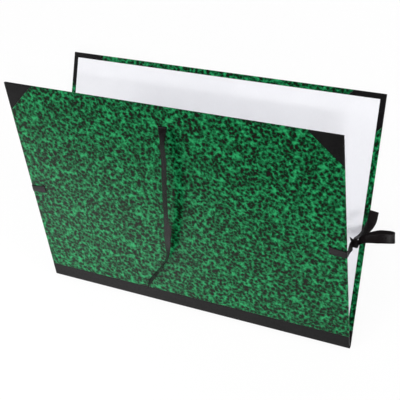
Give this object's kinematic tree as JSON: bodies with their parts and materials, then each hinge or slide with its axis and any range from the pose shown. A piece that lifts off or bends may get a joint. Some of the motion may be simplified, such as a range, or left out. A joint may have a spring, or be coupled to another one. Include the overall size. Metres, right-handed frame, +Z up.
{
  "type": "art portfolio",
  "caption": "Large half-cloth art portfolio in marbled paper with cloth spine and corners, its two covers tied half open with ribbon bows.",
  "frame": {"origin": "middle of the spine cloth's strip on the back cover's outer face, the face that the portfolio lies on", "axes": "+X along the spine, +Y from the spine to the fore-edge, +Z up from the back cover to the front cover"},
  "size_m": [0.6338, 0.3761, 0.1842],
  "materials": {
    "marbled_paper": "satin",
    "book_cloth": "matte",
    "liner_paper": "matte",
    "greyboard": "matte",
    "ribbon": "satin"
  },
  "bodies": {
    "back_cover": {"back_board": "greyboard", "back_marbled_paper": "marbled_paper", "back_left_corner": "book_cloth", "back_right_corner": "book_cloth", "back_liner": "liner_paper", "back_top_ribbon": "ribbon", "back_left_ribbon": "ribbon", "back_right_ribbon": "ribbon", "spine_cloth": "book_cloth", "inner_spine_cloth": "book_cloth"},
    "front_cover": {"front_board": "greyboard", "front_marbled_paper": "marbled_paper", "front_left_corner": "book_cloth", "front_right_corner": "book_cloth", "front_liner": "liner_paper", "front_top_ribbon": "ribbon", "front_left_ribbon": "ribbon", "front_right_ribbon": "ribbon"}
  },
  "joints": [
    {"name": "front_cover_hinge", "type": "hinge", "parent": "back_cover", "child": "front_cover", "pos_m": [0, -0.0115, 0.0046], "axis": [1, 0, 0], "range_deg": [-28, 0], "deforming": ["spine_cloth", "inner_spine_cloth", "front_left_ribbon", "front_right_ribbon", "back_left_ribbon", "back_right_ribbon"]}
  ]
}
